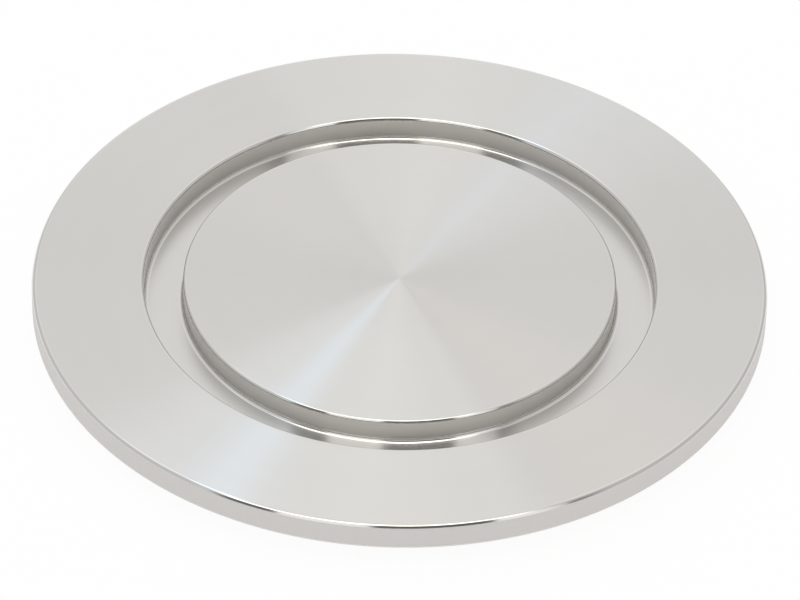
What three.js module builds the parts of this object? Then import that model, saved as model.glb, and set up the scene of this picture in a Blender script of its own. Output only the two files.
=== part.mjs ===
// ISO-KF DN 50 blank (blind) flange: one disc turned from solid stainless bar.
// Millimetres, +Z up. Origin: centre of the flat back hub, on the turning axis.
// +Z points out of the sealing face.
//
// Half section, from the axis outwards:
//
//   centre plateau   recess    sealing annulus
//   ____________             _____________________
//               |           |                     |  rim
//               |___________|                     |
//                                          _______|
//   ______________________________________/  15 deg clamp taper
//        flat back hub
//
import * as THREE from "three";

// Driving dimensions
const FLANGE_DIAMETER = 75.0; // outside diameter of an ISO-KF DN 50 flange
const RECESS_DIAMETER = 52.2; // outer wall of the recess that locates the centring ring
const PLATEAU_DIAMETER = 44.2; // centre plateau left standing inside the recess
const OVERALL_THICKNESS = 5.0; // sealing face to back hub
const RIM_THICKNESS = 2.85; // sealing face to the start of the clamp taper
const RECESS_DEPTH = 2.65; // sealing face to recess floor
const TAPER_ANGLE = 15; // degrees, back face of the flange, where the clamp bears

// Radii of the rounded edges and fillets
const RIM_EDGE = 0.45; // sealing face to rim
const BACK_EDGE = 0.3; // rim to taper
const MOUTH_EDGE = 0.35; // sealing face to recess
const PLATEAU_EDGE = 0.3; // plateau top to its wall
const OUTER_FILLET = 0.35; // recess floor to its outer wall
const INNER_FILLET = 0.42; // recess floor to plateau

const HUB_FACET_REACH = 0.2; // facet at the taper's foot, radially to each side of it
const SEGMENTS = 96; // facets round the axis
const ARC_STEPS = 2; // facets in each small radius

const { degToRad } = THREE.MathUtils;

// An arc as (radius, height) points. Angles in degrees: 0 is outwards, 90 is up.
function arc(centreRadius, centreHeight, arcRadius, startAngle, endAngle) {
  return Array.from({ length: ARC_STEPS + 1 }, (_, i) => {
    const angle = degToRad(startAngle + ((endAngle - startAngle) * i) / ARC_STEPS);
    return new THREE.Vector2(
      centreRadius + arcRadius * Math.cos(angle),
      centreHeight + arcRadius * Math.sin(angle),
    );
  });
}

// Half section of the disc, from the back centre round the rim to the plateau centre.
function discProfile() {
  const flangeRadius = FLANGE_DIAMETER / 2;
  const recessRadius = RECESS_DIAMETER / 2;
  const plateauRadius = PLATEAU_DIAMETER / 2;
  const top = OVERALL_THICKNESS;
  const floor = top - RECESS_DEPTH;
  const taperStart = top - RIM_THICKNESS;
  const slope = Math.tan(degToRad(TAPER_ANGLE));
  const hubRadius = flangeRadius - taperStart / slope;

  // The back edge is tangent to the rim and to the taper, which meet at 90 + 15 degrees.
  const backTangent = BACK_EDGE * Math.tan(degToRad((90 - TAPER_ANGLE) / 2));

  return [
    new THREE.Vector2(0, 0),
    // The foot facet rises at the taper angle; the taper then runs slightly flatter.
    new THREE.Vector2(hubRadius - HUB_FACET_REACH, 0),
    new THREE.Vector2(hubRadius + HUB_FACET_REACH, HUB_FACET_REACH * 2 * slope),
    ...arc(flangeRadius - BACK_EDGE, taperStart + backTangent, BACK_EDGE, TAPER_ANGLE - 90, 0),
    ...arc(flangeRadius - RIM_EDGE, top - RIM_EDGE, RIM_EDGE, 0, 90),
    ...arc(recessRadius + MOUTH_EDGE, top - MOUTH_EDGE, MOUTH_EDGE, 90, 180),
    ...arc(recessRadius - OUTER_FILLET, floor + OUTER_FILLET, OUTER_FILLET, 0, -90),
    ...arc(plateauRadius + INNER_FILLET, floor + INNER_FILLET, INNER_FILLET, -90, -180),
    ...arc(plateauRadius - PLATEAU_EDGE, top - PLATEAU_EDGE, PLATEAU_EDGE, 0, 90),
    new THREE.Vector2(0, top),
  ];
}

const turnedSteel = new THREE.MeshStandardMaterial({
  color: new THREE.Color(0.62, 0.61, 0.59), // linear RGB, warm grey
  roughness: 0.3,
  metalness: 1.0,
});

function flangeDisc() {
  const disc = new THREE.LatheGeometry(discProfile(), SEGMENTS);
  disc.rotateX(Math.PI / 2); // the lathe turns about Y; stand its axis along +Z

  const mesh = new THREE.Mesh(disc, turnedSteel);
  mesh.name = "flange_disc";
  return mesh;
}

const blindFlange = new THREE.Group();
blindFlange.add(flangeDisc());

export default blindFlange;
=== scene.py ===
"""Looks for a solid clamp-type blind flange: one stainless steel disc, turned on a lathe.

The disc lies flat with its axis on Z, its back at z = 0 and its recessed front facing up.
The CAD disc gives its size. A fine turned mesh takes its place, in a plain white studio.
The camera looks down from the -Y side.
"""

import math

import bpy
import numpy as np
from mathutils import Matrix, Vector


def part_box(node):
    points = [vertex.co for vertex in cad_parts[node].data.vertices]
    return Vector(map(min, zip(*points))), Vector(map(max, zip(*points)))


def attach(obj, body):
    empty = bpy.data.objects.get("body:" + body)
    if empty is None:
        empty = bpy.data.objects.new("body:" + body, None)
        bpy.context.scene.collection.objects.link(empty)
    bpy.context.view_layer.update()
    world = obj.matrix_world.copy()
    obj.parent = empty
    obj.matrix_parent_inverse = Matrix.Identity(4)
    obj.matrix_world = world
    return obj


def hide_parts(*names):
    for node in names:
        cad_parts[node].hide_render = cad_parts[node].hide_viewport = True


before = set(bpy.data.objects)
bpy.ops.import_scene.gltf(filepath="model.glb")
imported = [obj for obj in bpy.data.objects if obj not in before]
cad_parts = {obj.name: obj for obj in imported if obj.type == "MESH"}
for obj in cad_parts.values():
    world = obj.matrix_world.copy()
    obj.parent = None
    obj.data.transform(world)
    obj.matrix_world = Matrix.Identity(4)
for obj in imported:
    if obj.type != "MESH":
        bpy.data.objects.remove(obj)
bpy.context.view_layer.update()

# ---------------------------------------------------------------- sizes, in millimetres
MM = 1000  # millimetres in a metre
LOW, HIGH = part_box("flange_disc")
FLANGE_R = (HIGH.x - LOW.x) * MM / 2
TOP = HIGH.z * MM
RECESS_R = 26.1  # outer wall of the ring-shaped recess
PLATEAU_R = 22.1  # inner wall of the recess, round the middle plateau
RECESS_DEPTH = 2.65
RECESS_FLOOR = TOP - RECESS_DEPTH
RIM_HEIGHT = 2.85
TAPER_START = TOP - RIM_HEIGHT
TAPER = 15  # degrees between the sloping back and the horizontal
HUB_R = FLANGE_R - TAPER_START / math.tan(math.radians(TAPER))
HUB_ROUND = 1.5  # radius of the bend between the flat and the sloping back
HUB_SETBACK = 0.2  # from HUB_R in to the start of that bend
RIM_EDGE = 0.45
RECESS_EDGE = 0.35
PLATEAU_EDGE = 0.3
BACK_EDGE = 0.3
OUTER_FILLET = 0.35
INNER_FILLET = 0.42
RIM_SATIN = 20  # degrees of the rim's edge radius that share its satin finish
GROOVE_LEAN = 0.06  # radians; the grooves' mean slope, as they are steeper on one side
SEGMENTS = 512
SUPPORT = 0.03  # from each end of a straight stretch to its extra loop
JOIN = 1e-6  # points closer than this are one

# surface zones, in the order of the material slots
FACE, EDGE, WALL, FLOOR, RIM, BACK, FILLET = range(7)


# ---------------------------------------------------------------- the turned profile
def profile():
    """(r, z, normal r, normal z, zone of the stretch that ends here), from back to front centre."""
    points = []

    def add(r, z, normal_r, normal_z, zone):
        """Where stretches join, the earlier one's point and normal stay."""
        if not points or math.hypot(r - points[-1][0], z - points[-1][1]) >= JOIN:
            points.append((r, z, normal_r, normal_z, zone))

    def line(start, end, zone, steps):
        """A straight stretch, with a loop close to each end so that shading stays flat."""
        (r0, z0), (r1, z1) = start, end
        length = math.hypot(r1 - r0, z1 - z0)
        along_r, along_z = (r1 - r0) / length, (z1 - z0) / length
        normal = (along_z, -along_r)
        if zone == FACE:
            normal = (math.sin(GROOVE_LEAN), math.cos(GROOVE_LEAN))
        stations = {length * i / steps for i in range(steps + 1)}
        if length > 4 * SUPPORT:
            stations |= {SUPPORT, length - SUPPORT}
        for s in sorted(stations):
            add(r0 + along_r * s, z0 + along_z * s, *normal, zone)

    def arc(centre, radius, first, last, zone, steps, sign=1):
        """A rounded edge, between angles in degrees. sign is -1 where the metal is outside."""
        for i in range(steps + 1):
            angle = math.radians(first + (last - first) * i / steps)
            c, s = math.cos(angle), math.sin(angle)
            add(centre[0] + radius * c, centre[1] + radius * s, sign * c, sign * s, zone)

    # flat back, the bend, and the sloping back out to the rim
    slope = TAPER - 90  # direction square to the sloping back
    bend_r = HUB_R - HUB_SETBACK
    line((0, 0), (bend_r, 0), BACK, steps=6)
    arc((bend_r, HUB_ROUND), HUB_ROUND, -90, slope, EDGE, steps=3)
    back_r = FLANGE_R - BACK_EDGE
    back_z = TAPER_START + BACK_EDGE * math.tan(math.radians((90 - TAPER) / 2))
    slope_end = (
        back_r + BACK_EDGE * math.cos(math.radians(slope)),
        back_z + BACK_EDGE * math.sin(math.radians(slope)),
    )
    line(points[-1][:2], slope_end, BACK, steps=4)
    arc((back_r, back_z), BACK_EDGE, slope, 0, EDGE, steps=8)
    # rim; its satin finish runs on into the lower part of its edge radius
    rim = (FLANGE_R - RIM_EDGE, TOP - RIM_EDGE)
    line((FLANGE_R, back_z), (FLANGE_R, rim[1]), RIM, steps=3)
    arc(rim, RIM_EDGE, 0, RIM_SATIN, RIM, steps=4)
    arc(rim, RIM_EDGE, RIM_SATIN, 90, EDGE, steps=10)
    # outer ring of the face, and the recess
    recess = (RECESS_R + RECESS_EDGE, TOP - RECESS_EDGE)
    outer = (RECESS_R - OUTER_FILLET, RECESS_FLOOR + OUTER_FILLET)
    inner = (PLATEAU_R + INNER_FILLET, RECESS_FLOOR + INNER_FILLET)
    plateau = (PLATEAU_R - PLATEAU_EDGE, TOP - PLATEAU_EDGE)
    line((rim[0], TOP), (recess[0], TOP), FACE, steps=6)
    arc(recess, RECESS_EDGE, 90, 180, EDGE, steps=12)
    line((RECESS_R, recess[1]), (RECESS_R, outer[1]), WALL, steps=3)
    arc(outer, OUTER_FILLET, 0, -90, FILLET, steps=12, sign=-1)
    line((outer[0], RECESS_FLOOR), (inner[0], RECESS_FLOOR), FLOOR, steps=4)
    arc(inner, INNER_FILLET, -90, -180, FILLET, steps=12, sign=-1)
    # plateau
    line((PLATEAU_R, inner[1]), (PLATEAU_R, plateau[1]), WALL, steps=3)
    arc(plateau, PLATEAU_EDGE, 0, 90, EDGE, steps=12)
    line((plateau[0], TOP), (0, TOP), FACE, steps=8)
    return points


def link(name, mesh):
    obj = bpy.data.objects.new(name, mesh)
    bpy.context.scene.collection.objects.link(obj)
    return obj


def lathe(name, points, segments):
    """A closed body of revolution about Z, in metres, with the profile's normals and zones."""
    angles = np.arange(segments) * 2 * np.pi / segments
    c, s = np.cos(angles), np.sin(angles)
    verts, normals = [(0, 0, points[0][1] / MM)], [(0, 0, -1)]
    for r, z, normal_r, normal_z, _ in points[1:-1]:
        verts += list(zip(r * c / MM, r * s / MM, [z / MM] * segments))
        normals += list(zip(normal_r * c, normal_r * s, [normal_z] * segments))
    verts.append((0, 0, points[-1][1] / MM))
    normals.append((0, 0, 1))

    # neighbouring places round a ring, and the first vertex of every ring
    pairs = [(j, (j + 1) % segments) for j in range(segments)]
    starts = [1 + i * segments for i in range(len(points) - 2)]
    faces = [(0, 1 + k, 1 + j) for j, k in pairs]
    for low, high in zip(starts, starts[1:]):
        faces += [(low + j, low + k, high + k, high + j) for j, k in pairs]
    faces += [(starts[-1] + j, starts[-1] + k, len(verts) - 1) for j, k in pairs]
    zones = np.repeat([point[4] for point in points[1:]], segments).astype(np.int32)

    mesh = bpy.data.meshes.new(name)
    mesh.from_pydata([tuple(map(float, v)) for v in verts], [], faces)
    mesh.polygons.foreach_set("material_index", zones)
    mesh.polygons.foreach_set("use_smooth", np.ones(len(faces), bool))
    mesh.update()
    mesh.normals_split_custom_set_from_vertices([tuple(map(float, v)) for v in normals])
    return link(name, mesh)


# ---------------------------------------------------------------- node helpers
class Nodes:
    """A short way to write node maths: every value is a socket or a number."""

    def __init__(self, owner):
        owner.use_nodes = True
        self.tree = owner.node_tree
        self.tree.nodes.clear()

    def new(self, kind, **props):
        node = self.tree.nodes.new(kind)
        for key, value in props.items():
            setattr(node, key, value)
        return node

    def put(self, socket, value):
        if isinstance(value, bpy.types.NodeSocket):
            self.tree.links.new(value, socket)
        else:
            socket.default_value = value

    def fill(self, node, values):
        """Put values into a node's inputs, by input name or number."""
        for key, value in values.items():
            self.put(node.inputs[key], value)
        return node

    def math(self, operation, *values):
        node = self.new("ShaderNodeMath", operation=operation)
        return self.fill(node, dict(enumerate(values))).outputs[0]

    def product(self, first, *others):
        for other in others:
            first = self.math("MULTIPLY", first, other)
        return first

    def step(self, x, start, end):
        """0 before start and 1 past end, smooth between; start may be above end."""
        node = self.new("ShaderNodeMapRange", interpolation_type="SMOOTHSTEP", clamp=True)
        rising = start <= end
        ends = (0.0, 1.0) if rising else (1.0, 0.0)
        values = (x, min(start, end), max(start, end), *ends)
        return self.fill(node, dict(enumerate(values))).outputs[0]

    def band(self, x, low, high, soft_low, soft_high):
        """1 between low and high, with soft edges of the given widths."""
        return self.product(
            self.step(x, low - soft_low / 2, low + soft_low / 2),
            self.step(x, high + soft_high / 2, high - soft_high / 2),
        )

    def mix_colour(self, factor, a, b):
        node = self.new("ShaderNodeMix", data_type="RGBA")
        return self.fill(node, {0: factor, 6: a, 7: b}).outputs[2]

    def mix_value(self, factor, a, b):
        node = self.new("ShaderNodeMix", data_type="FLOAT")
        return self.fill(node, {0: factor, 2: a, 3: b}).outputs[0]

    def scaled(self, colour, scale):
        node = self.new("ShaderNodeVectorMath", operation="SCALE")
        return self.fill(node, {0: colour, "Scale": scale}).outputs[0]

    def plus(self, a, b):
        node = self.new("ShaderNodeVectorMath", operation="ADD")
        return self.fill(node, {0: a, 1: b}).outputs[0]

    def split(self, vector):
        return self.fill(self.new("ShaderNodeSeparateXYZ"), {0: vector}).outputs

    def camera_ray(self):
        """1 where the camera sees the surface directly, 0 where something else does."""
        return self.new("ShaderNodeLightPath").outputs["Is Camera Ray"]

    def noise(self, place, scale, detail, roughness=0.5, shift=None):
        """3D noise at a point, or 1D noise at a distance moved by shift."""
        if shift is None:
            node = self.new("ShaderNodeTexNoise", noise_dimensions="3D")
            self.put(node.inputs["Vector"], place)
        else:
            node = self.new("ShaderNodeTexNoise", noise_dimensions="1D")
            self.put(node.inputs["W"], self.math("ADD", place, shift))
        values = {"Scale": scale, "Detail": detail, "Roughness": roughness}
        return self.fill(node, values).outputs[0]

    def bump(self, height, micrometres):
        node = self.new("ShaderNodeBump")
        values = {"Distance": micrometres * 1e-6, "Height": height}
        return self.fill(node, values).outputs[0]


# ---------------------------------------------------------------- steel
STEEL = (0.800, 0.785, 0.762)
SATIN_STEEL = (0.700, 0.680, 0.668)
GRAIN_SIZE = 0.15  # mm
MARK_TONE = 0.25  # share of the marks that also changes the tone
MIDDLE_FADE = (4 / MM, 12 / MM)  # radii between which the middle's own tone ends
RECESS_SHADE_END = 0.4  # mm below the top, where the painted shade of the recess ends


def steel(name, roughness, anisotropy, colour=STEEL, marks=0.0, rings=0.0, grain=0.0,
          tone=0.0, painted_recess_shade=1.0, turn=0.25, mirror=None, middle=1.0):
    """Turned stainless steel, with grooves that run round the axis.

    marks: how much the roughness changes from groove to groove.
    rings, grain: height of concentric grooves or of a fine sandy grain, in micrometres; a
    surface has one of them at most. tone: slow change of tone with radius.
    painted_recess_shade: painted shade in the recess, the tone at its bottom against that at its
    top.
    turn: 0.25 where it is rougher across the grooves than along them, 0 the other way round.
    mirror: roughness, anisotropy, turn and painted recess shade as neighbouring surfaces reflect
    it; needs the painted recess shade to be set.
    middle: tone near the turning axis, against that of the rest.
    """
    mat = bpy.data.materials.new(name)
    n = Nodes(mat)
    point = n.new("ShaderNodeTexCoord").outputs["Object"]
    x, y, z = n.split(point)
    r = n.math("SQRT", n.math("ADD", n.product(x, x), n.product(y, y)))
    # distance along the profile, in mm: radius on the faces and height on the walls
    along = n.product(n.math("ADD", r, z), MM)
    fine = n.noise(along, scale=6.0, detail=3.0, roughness=0.6, shift=3.7)
    slow = n.noise(along, scale=0.35, detail=2.0, roughness=0.5, shift=11.0)

    def vary(base, noise, amount):
        """base, moved up and down by the noise."""
        return n.math("ADD", base, n.product(n.math("SUBTRACT", noise, 0.5), amount))

    shade = vary(vary(1.0, slow, tone), fine, marks * MARK_TONE)
    if middle != 1.0:
        shade = n.product(shade, n.mix_value(n.step(r, *MIDDLE_FADE), middle, 1.0))
    # painted shade: the recess grows darker towards its floor, where less light reaches
    if painted_recess_shade != 1.0:
        height = n.step(z, RECESS_FLOOR / MM, (TOP - RECESS_SHADE_END) / MM)
        if mirror:
            painted_recess_shade = n.mix_value(n.camera_ray(), mirror["painted_recess_shade"], painted_recess_shade)
        shade = n.product(shade, n.mix_value(height, painted_recess_shade, 1.0))

    if mirror:
        direct = n.camera_ray()
        roughness = n.mix_value(direct, mirror["roughness"], roughness)
        anisotropy = n.mix_value(direct, mirror["anisotropy"], anisotropy)
        turn = n.mix_value(direct, mirror["turn"], turn)
    tangent = n.new("ShaderNodeTangent", direction_type="RADIAL", axis="Z")
    bsdf = n.fill(n.new("ShaderNodeBsdfPrincipled"), {
        "Metallic": 1.0,
        "Base Color": n.scaled(colour, shade),
        "Roughness": n.product(roughness, vary(1.0, fine, marks)),
        "Anisotropic": anisotropy,
        "Anisotropic Rotation": turn,
        "Tangent": tangent.outputs[0],
    })
    if rings:
        height = n.noise(along, scale=9.0, detail=4.0, roughness=0.65, shift=1.3)
        n.put(bsdf.inputs["Normal"], n.bump(height, rings))
    if grain:
        height = n.noise(point, scale=MM / GRAIN_SIZE, detail=2.0)
        n.put(bsdf.inputs["Normal"], n.bump(height, grain))
    n.fill(n.new("ShaderNodeOutputMaterial"), {0: bsdf.outputs[0]})
    return mat


def make_flange():
    flange = lathe("blind_flange", profile(), SEGMENTS)
    # includes the recess wall's painted shade, as neighbouring surfaces see it in reflection
    wall_mirror = dict(roughness=0.12, anisotropy=0.5, turn=0.25, painted_recess_shade=0.84)
    for mat in (
        steel("turned_face", roughness=0.264, anisotropy=1.0, marks=0.12, tone=0.02,
              middle=0.982),
        steel("polished_edge", roughness=0.1, anisotropy=0.5),
        # the recess wall gets painted shade, darker towards the recess floor
        steel("recess_wall", roughness=0.35, anisotropy=0.8, marks=0.2, painted_recess_shade=0.68, turn=0.0,
              mirror=wall_mirror),
        steel("recess_floor", roughness=0.2, anisotropy=1.0, marks=0.2),
        steel("satin_rim", roughness=0.42, anisotropy=0.3, colour=SATIN_STEEL, grain=3.0),
        steel("turned_back", roughness=0.36, anisotropy=0.9, marks=0.3, rings=1.0),
        steel("recess_fillet", roughness=0.1, anisotropy=0.5),
    ):
        flange.data.materials.append(mat)
    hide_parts("flange_disc")
    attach(flange, "root")


make_flange()

# ---------------------------------------------------------------- floor, in metres
FLOOR_HALF = 3.5
FLOOR_GAP = 0.00005  # below the flange
# diffuse colour and glow, as the flange sees the floor and as the camera does
TABLE, TABLE_GLOW = 0.5, 0.5
TABLE_SEEN, TABLE_SEEN_GLOW = 0.08, 0.93


def floor_material():
    """A translucent table lit from below too, so the camera sees only a faint shadow."""
    mat = bpy.data.materials.new("pale_floor")
    n = Nodes(mat)
    seen = n.camera_ray()
    colour = n.scaled((1, 1, 1), n.mix_value(seen, TABLE, TABLE_SEEN))
    diffuse = n.fill(n.new("ShaderNodeBsdfDiffuse"), {0: colour})
    strength = n.mix_value(seen, TABLE_GLOW, TABLE_SEEN_GLOW)
    glow = n.fill(n.new("ShaderNodeEmission"), {0: (1, 1, 1, 1), 1: strength})
    both = n.fill(n.new("ShaderNodeAddShader"), {0: diffuse.outputs[0], 1: glow.outputs[0]})
    n.fill(n.new("ShaderNodeOutputMaterial"), {0: both.outputs[0]})
    return mat


def make_floor():
    mesh = bpy.data.meshes.new("floor")
    z = LOW.z - FLOOR_GAP
    corners = ((-1, -1), (1, -1), (1, 1), (-1, 1))
    verts = [(x * FLOOR_HALF, y * FLOOR_HALF, z) for x, y in corners]
    mesh.from_pydata(verts, [], [(0, 1, 2, 3)])
    obj = link("floor", mesh)
    mesh.materials.append(floor_material())


make_floor()

# ---------------------------------------------------------------- camera settings
ELEVATION = math.radians(40.122)
ROLL = math.radians(-1.281)
DISTANCE = 585.66 / MM  # from the centre of the face
SENSOR = 36  # mm
LENS = 258.3  # mm
# where the face's centre falls from the middle of the sensor's picture, in mm
FACE_RIGHT, FACE_UP = -0.00855, 0.9945

# ---------------------------------------------------------------- studio, radiance by direction
# A direction is named by the surface tilt that would mirror it to the camera, in degrees:
# its lean from level, and its side (0 is straight towards the camera, positive to the right).
# Bands are (start, end, width of the soft start, width of the soft end).
# Steps are (where it starts, where it is complete).
TENT = (0.844, 0.846, 0.845)
TENT_GAIN = 0.011  # brighter by this per degree of lean away from the camera
TENT_MIN = 0.3
# the tent's level on its flanks, and the leans over which that sets in
FLANK_LEFT, FLANK_RIGHT = 0.74, 0.68
FLANK_AWAY_STEP = (6.0, 20.0)
FLANK_NEAR_STEP = (10.0, 26.0)
# the sides that stay white between the flanks; at greater leans they end more sharply
WHITE_SOFT = (-50.0, 24.5, 42.0, 16.0)
WHITE_SHARP = (-30.0, 25.0, 8.0, 8.0)
WHITE_SHARP_STEP = (18.0, 26.0)
# the softbox overhead, and the extra light of its middle
BOX = (1.02, 1.0, 0.88)
BOX_SIDES = (-27.0, 21.0, 4.8, 3.9)
BOX_LEAN = (24.8, 36.8, 5.5, 6.0)
BOX_MIDDLE = 0.77
BOX_MIDDLE_SIDES = (-7.0, 9.0, 14.0, 14.0)
# white panels on both sides of the dark gap round the camera
LOW_LEAN = (38.0, 68.0, 6.0, 4.0)
GAP_LEFT, GAP_RIGHT = -3.5, 15.5
PANEL_LEFT, PANEL_RIGHT = -18.5, 27.5
PANEL = (0.15, 0.15, 0.15)
PANEL_BANDS = (
    (PANEL_LEFT, GAP_LEFT, 2.0, 2.0),
    (GAP_RIGHT, PANEL_RIGHT, 2.0, 2.0),
)
# (colour, band of sides) of the cool streak on the left, the fainter light next to it,
# and the faint light on the right
STREAK_LEAN = (7.0, 27.0, 4.0, 8.0)
STREAKS = (
    ((0.43, 0.63, 0.85), (-34.7, -25.7, 3.0, 3.0)),
    ((0.22, 0.24, 0.25), (-52.0, -36.0, 14.0, 3.0)),
    ((0.15, 0.11, 0.09), (29.0, 58.0, 4.0, 30.0)),
)
# (level, band of sides) of the gap round the camera and the strips beyond the panels
DARK_STRIPS = (
    (0.13, (GAP_LEFT, GAP_RIGHT, 2.0, 2.0)),
    (0.15, (-28.5, PANEL_LEFT, 5.0, 2.0)),
    (0.3, (PANEL_RIGHT, 32.5, 2.0, 7.0)),
)


def mirror_tilt(n):
    """The side and lean of the surface that mirrors a direction to the camera."""
    direction = n.new("ShaderNodeTexCoord").outputs["Generated"]
    to_camera = (0, -math.cos(ELEVATION), math.sin(ELEVATION))
    unit = n.new("ShaderNodeVectorMath", operation="NORMALIZE")
    n.put(unit.inputs[0], n.plus(direction, to_camera))
    x, y, z = n.split(unit.outputs[0])
    side = n.product(n.math("ARCTAN2", x, n.product(y, -1.0)), math.degrees(1))
    lean = n.product(n.math("ARCCOSINE", z), math.degrees(1))
    return side, lean


def tent_light(n, side, lean, near):
    cos_side, sin_side = (
        n.math(operation, n.product(side, math.radians(1))) for operation in ("COSINE", "SINE")
    )
    away_lean = n.math("MINIMUM", n.product(lean, cos_side), 0.0)
    level = n.math("ADD", 1.0, n.product(away_lean, -TENT_GAIN))
    beside = n.mix_value(
        n.step(lean, *WHITE_SHARP_STEP),
        n.math("SUBTRACT", 1.0, n.band(side, *WHITE_SOFT)),
        n.math("SUBTRACT", 1.0, n.band(side, *WHITE_SHARP)),
    )
    flank = n.mix_value(
        near,
        n.product(n.math("ABSOLUTE", sin_side), n.step(lean, *FLANK_AWAY_STEP)),
        n.product(beside, n.step(lean, *FLANK_NEAR_STEP)),
    )
    on_left = n.math("LESS_THAN", side, 0.0)
    loss = n.product(n.mix_value(on_left, 1 - FLANK_RIGHT, 1 - FLANK_LEFT), flank)
    level = n.product(level, n.math("SUBTRACT", 1.0, loss))
    return n.scaled(TENT, n.math("MAXIMUM", level, TENT_MIN))


def box_level(n, side, lean):
    box = n.product(n.band(side, *BOX_SIDES), n.band(lean, *BOX_LEAN))
    extra = n.product(n.band(side, *BOX_MIDDLE_SIDES), BOX_MIDDLE)
    return n.product(box, n.math("ADD", 1.0, extra))


def make_world():
    """A white tent with a softbox overhead, side panels and a dark gap round the camera."""
    world = bpy.data.worlds.new("studio")
    bpy.context.scene.world = world
    n = Nodes(world)
    side, lean = mirror_tilt(n)
    # 1 where the surface leans towards the camera
    near = n.math("LESS_THAN", n.math("ABSOLUTE", side), 90.0)
    low = n.product(near, n.band(lean, *LOW_LEAN))

    light = tent_light(n, side, lean, near)
    light = n.plus(light, n.scaled(BOX, n.product(box_level(n, side, lean), near)))
    panels = n.math("ADD", *(n.band(side, *band) for band in PANEL_BANDS))
    light = n.plus(light, n.scaled(PANEL, n.product(panels, low)))
    for colour, sides in STREAKS:
        streak = n.product(n.band(side, *sides), n.band(lean, *STREAK_LEAN), near)
        light = n.plus(light, n.scaled(colour, streak))
    for level, sides in DARK_STRIPS:
        dark = n.product(n.band(side, *sides), low)
        light = n.mix_colour(dark, light, (level, level, level, 1))
    # the camera itself sees plain white
    light = n.mix_colour(n.camera_ray(), light, (1.0, 1.0, 1.0, 1))
    background = n.fill(n.new("ShaderNodeBackground"), {0: light})
    n.fill(n.new("ShaderNodeOutputWorld"), {0: background.outputs[0]})


make_world()


# ---------------------------------------------------------------- camera
def make_camera():
    """A long lens, high above the face, with a slight roll."""
    forward = Vector((0, math.cos(ELEVATION), -math.sin(ELEVATION)))
    right = Vector((1, 0, 0))
    up = right.cross(forward)
    c, s = math.cos(ROLL), math.sin(ROLL)
    right, up = right * c - up * s, right * s + up * c
    place = Vector((0, 0, TOP / MM)) - forward * DISTANCE
    # turn the view so that the face's centre falls off the middle of the picture
    forward = (forward - right * (FACE_RIGHT / LENS) - up * (FACE_UP / LENS)).normalized()
    right = (right - forward * right.dot(forward)).normalized()
    up = right.cross(forward)

    data = bpy.data.cameras.new("camera")
    data.sensor_width = SENSOR
    data.lens = LENS
    data.clip_start, data.clip_end = 0.01, 20
    camera = link("camera", data)
    matrix = Matrix((right, up, -forward)).transposed().to_4x4()
    matrix.translation = place
    camera.matrix_world = matrix
    bpy.context.scene.camera = camera


make_camera()
view = bpy.context.scene.view_settings
view.view_transform = "Standard"
view.look = "None"
view.exposure = 0
view.gamma = 1

bpy.context.view_layer.update()
